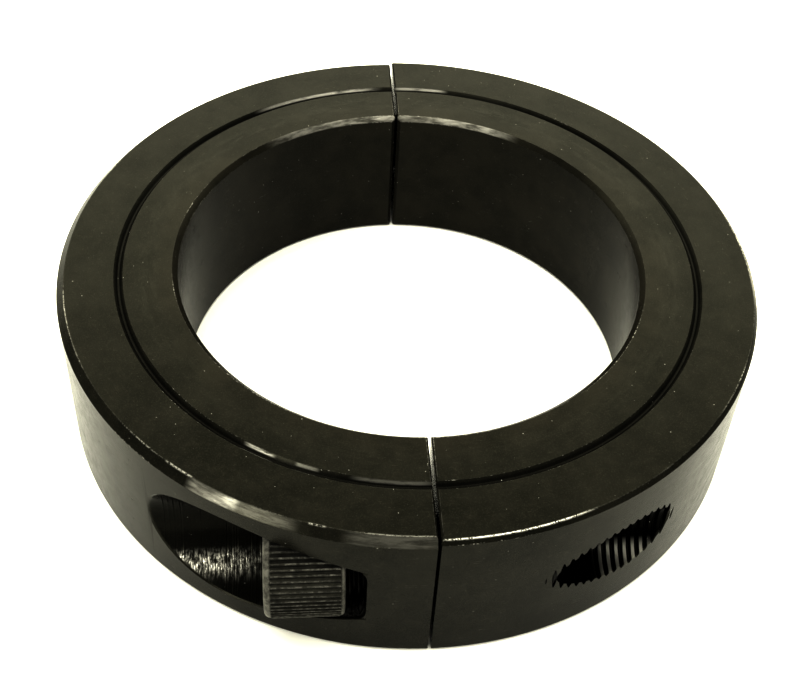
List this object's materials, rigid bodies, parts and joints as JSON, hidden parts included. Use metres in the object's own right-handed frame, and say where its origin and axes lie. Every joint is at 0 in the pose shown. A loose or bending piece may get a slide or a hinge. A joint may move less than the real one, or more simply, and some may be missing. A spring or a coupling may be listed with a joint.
{
  "type": "shaft collar",
  "caption": "Split steel shaft collar: grooved half rings drawn together round a shaft by opposed socket head cap screws.",
  "frame": {"origin": "on the bore's axis, in the plane of the plain lower face", "axes": "+Z along the bore's axis, towards the grooved face; the halves are split by the plane x = 0, and the front screw lies along X on the -Y side with its head towards -X"},
  "size_m": [0.0952, 0.096, 0.0222],
  "materials": {
    "ring_steel": "satin",
    "screw_steel": "satin",
    "patch_nylon": "matte"
  },
  "bodies": {
    "half_left": {"clamp_half_left": "ring_steel"},
    "half_right": {"clamp_half_right": "ring_steel"},
    "front_screw_feed": {"front_lock_patch": "patch_nylon"},
    "front_screw": {"front_cap_screw": "screw_steel"},
    "rear_screw_feed": {"rear_lock_patch": "patch_nylon"},
    "rear_screw": {"rear_cap_screw": "screw_steel"}
  },
  "joints": [
    {"name": "halves_part", "type": "slide", "parent": "half_left", "child": "half_right", "axis": [1, 0, 0], "range_m": [0, 0.065]},
    {"name": "front_screw_travel", "type": "slide", "parent": "half_left", "child": "front_screw_feed", "axis": [-1, 0, 0], "range_m": [-0.00245, 0.01482]},
    {"name": "front_screw_turn", "type": "hinge", "parent": "front_screw_feed", "child": "front_screw", "pos_m": [-0.01035, -0.0409, 0.01111], "axis": [-1, 0, 0], "range_deg": [-834, 5042]},
    {"name": "rear_screw_travel", "type": "slide", "parent": "half_right", "child": "rear_screw_feed", "axis": [1, 0, 0], "range_m": [-0.00245, 0.01482]},
    {"name": "rear_screw_turn", "type": "hinge", "parent": "rear_screw_feed", "child": "rear_screw", "pos_m": [0.01035, 0.0409, 0.01111], "axis": [1, 0, 0], "range_deg": [-834, 5042]}
  ],
  "couplings": [
    {"joint": "front_screw_turn", "follows": "front_screw_travel", "rad_per_m": 5936.9},
    {"joint": "rear_screw_turn", "follows": "rear_screw_travel", "rad_per_m": 5936.9}
  ]
}
